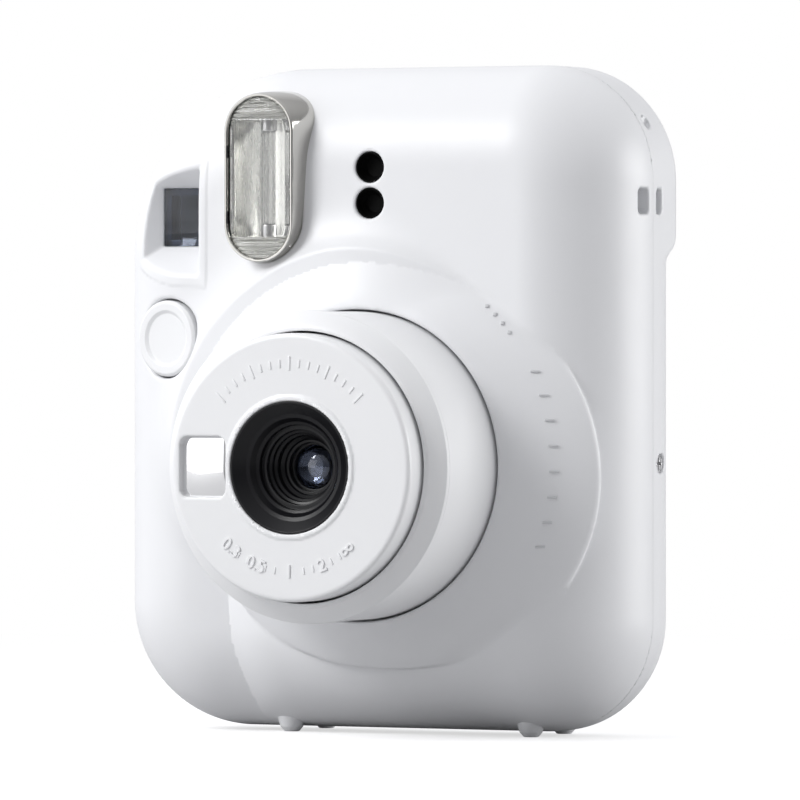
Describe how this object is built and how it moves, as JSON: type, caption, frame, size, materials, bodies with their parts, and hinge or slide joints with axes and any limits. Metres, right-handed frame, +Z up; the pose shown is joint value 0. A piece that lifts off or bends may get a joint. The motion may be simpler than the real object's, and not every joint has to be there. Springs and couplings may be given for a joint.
{
  "type": "instant camera",
  "caption": "Pocket instant film camera with a twist-to-extend lens, flash, front shutter button, hinged film door and a powered film exit on top.",
  "frame": {"origin": "bottom centre of the bounding box, on the surface the camera stands on", "axes": "+X to the right of a person facing the lens, +Y from the lens towards the back, +Z up"},
  "size_m": [0.104, 0.0666, 0.122],
  "materials": {
    "white_shell": "satin moulded plastic",
    "white_lens": "satin moulded plastic",
    "black_plastic": "matt moulded plastic",
    "clear_glass": "clear",
    "dark_glass": "tinted, polished",
    "amber_window": "tinted, clear",
    "chrome": "bright metallised plastic",
    "mirror": "polished",
    "steel": "plain",
    "brass": "plain",
    "rubber": "matt",
    "gear_plastic": "natural acetal",
    "board": "solder mask",
    "cell_jacket": "printed sleeve",
    "film": "glossy"
  },
  "bodies": {
    "root": {"front_cover": "white_shell", "rear_cover": "white_shell", "case_screws": "steel", "feet": "white_shell", "door_hinge_pin": "steel", "battery_door_pin": "steel", "lens_guide": "black_plastic", "viewfinder_window": "dark_glass", "viewfinder_tube": "black_plastic", "viewfinder_frame": "black_plastic", "viewfinder_eyepiece": "clear_glass", "flash_bezel": "chrome", "flash_window": "clear_glass", "flash_reflector": "chrome", "flash_tube": "clear_glass", "flash_capacitor": "cell_jacket", "light_sensor_windows": "black_plastic", "main_board": "board", "shutter_switch": "black_plastic", "button_spring": "steel", "chassis": "black_plastic", "film_pack": "black_plastic", "film_sheets": "film", "claw_spring": "steel", "roller_bracket": "steel", "gear_plate": "steel", "motor": "steel", "battery_cells": "cell_jacket", "battery_contacts": "brass", "counter_window": "clear_glass"},
    "film_door": {"film_door": "white_shell", "pack_window": "amber_window", "pressure_springs": "steel", "latch_spring": "steel"},
    "door_latch": {"door_latch": "white_shell"},
    "battery_door": {"battery_door": "white_shell"},
    "lens_ring": {"lens_ring": "white_lens"},
    "lens_barrel": {"lens_barrel": "white_lens", "lens_hood": "black_plastic", "front_lens": "clear_glass", "shutter_housing": "black_plastic", "aperture_plate": "black_plastic", "lens_cell": "black_plastic", "rear_lens": "clear_glass", "selfie_mirror": "mirror"},
    "shutter_blade": {"shutter_blade": "black_plastic"},
    "shutter_button": {"shutter_button": "white_lens"},
    "drive_roller": {"drive_roller": "rubber", "roller_gear": "gear_plastic"},
    "pressure_roller": {"pressure_roller": "rubber"},
    "idler_gear": {"idler_gear": "gear_plastic"},
    "motor_gear": {"motor_gear": "gear_plastic"},
    "pick_claw": {"pick_claw": "gear_plastic"},
    "counter_dial": {"counter_dial": "gear_plastic"}
  },
  "joints": [
    {"name": "lens_ring_turn", "type": "hinge", "parent": "root", "child": "lens_ring", "pos_m": [0.004, -0.014, 0.0493], "axis": [0, 1, 0], "range_deg": [0, 90]},
    {"name": "lens_barrel_slide", "type": "slide", "parent": "root", "child": "lens_barrel", "axis": [0, -1, 0], "range_m": [0, 0.009]},
    {"name": "shutter_blade_swing", "type": "hinge", "parent": "lens_barrel", "child": "shutter_blade", "pos_m": [0.0096, -0.02155, 0.0493], "axis": [0, 1, 0], "range_deg": [0, 56], "stiffness_Nm_per_rad": 0.0005, "springref_deg": -17.19},
    {"name": "shutter_button_press", "type": "slide", "parent": "root", "child": "shutter_button", "axis": [0.2419, 0.9703, 0], "range_m": [0, 0.0012], "stiffness_N_per_m": 600, "springref_m": -0.0006, "deforming": ["button_spring"]},
    {"name": "film_door_swing", "type": "hinge", "parent": "root", "child": "film_door", "pos_m": [0.0466, 0.0272, 0.048], "axis": [0, 0, -1], "range_deg": [0, 90]},
    {"name": "door_latch_slide", "type": "slide", "parent": "film_door", "child": "door_latch", "axis": [1, 0, 0], "range_m": [0, 0.0025], "stiffness_N_per_m": 200, "springref_m": -0.001, "deforming": ["latch_spring"]},
    {"name": "battery_door_swing", "type": "hinge", "parent": "root", "child": "battery_door", "pos_m": [-0.0492, 0.0253, 0.047], "axis": [0, 0, -1], "range_deg": [0, 90]},
    {"name": "drive_roller_spin", "type": "hinge", "parent": "root", "child": "drive_roller", "pos_m": [0, 0.0236, 0.106], "axis": [1, 0, 0], "continuous": true},
    {"name": "pressure_roller_spin", "type": "hinge", "parent": "root", "child": "pressure_roller", "pos_m": [0, 0.0166, 0.106], "axis": [1, 0, 0], "continuous": true},
    {"name": "idler_gear_spin", "type": "hinge", "parent": "root", "child": "idler_gear", "pos_m": [0.041, 0.01579, 0.09791], "axis": [1, 0, 0], "continuous": true},
    {"name": "motor_gear_spin", "type": "hinge", "parent": "root", "child": "motor_gear", "pos_m": [0.041, 0.01005, 0.09197], "axis": [1, 0, 0], "continuous": true},
    {"name": "pick_claw_slide", "type": "slide", "parent": "root", "child": "pick_claw", "axis": [0, 0, 1], "range_m": [0, 0.006], "stiffness_N_per_m": 60, "springref_m": -0.003, "deforming": ["claw_spring"]},
    {"name": "counter_dial_turn", "type": "hinge", "parent": "root", "child": "counter_dial", "pos_m": [-0.0385, 0.02725, 0.0814], "axis": [0, 1, 0], "range_deg": [0, 300]}
  ],
  "couplings": [
    {"joint": "lens_barrel_slide", "follows": "lens_ring_turn", "m_per_rad": 0.005729},
    {"joint": "pressure_roller_spin", "follows": "drive_roller_spin", "ratio": -1},
    {"joint": "idler_gear_spin", "follows": "drive_roller_spin", "ratio": -1.1429},
    {"joint": "motor_gear_spin", "follows": "drive_roller_spin", "ratio": 2}
  ]
}
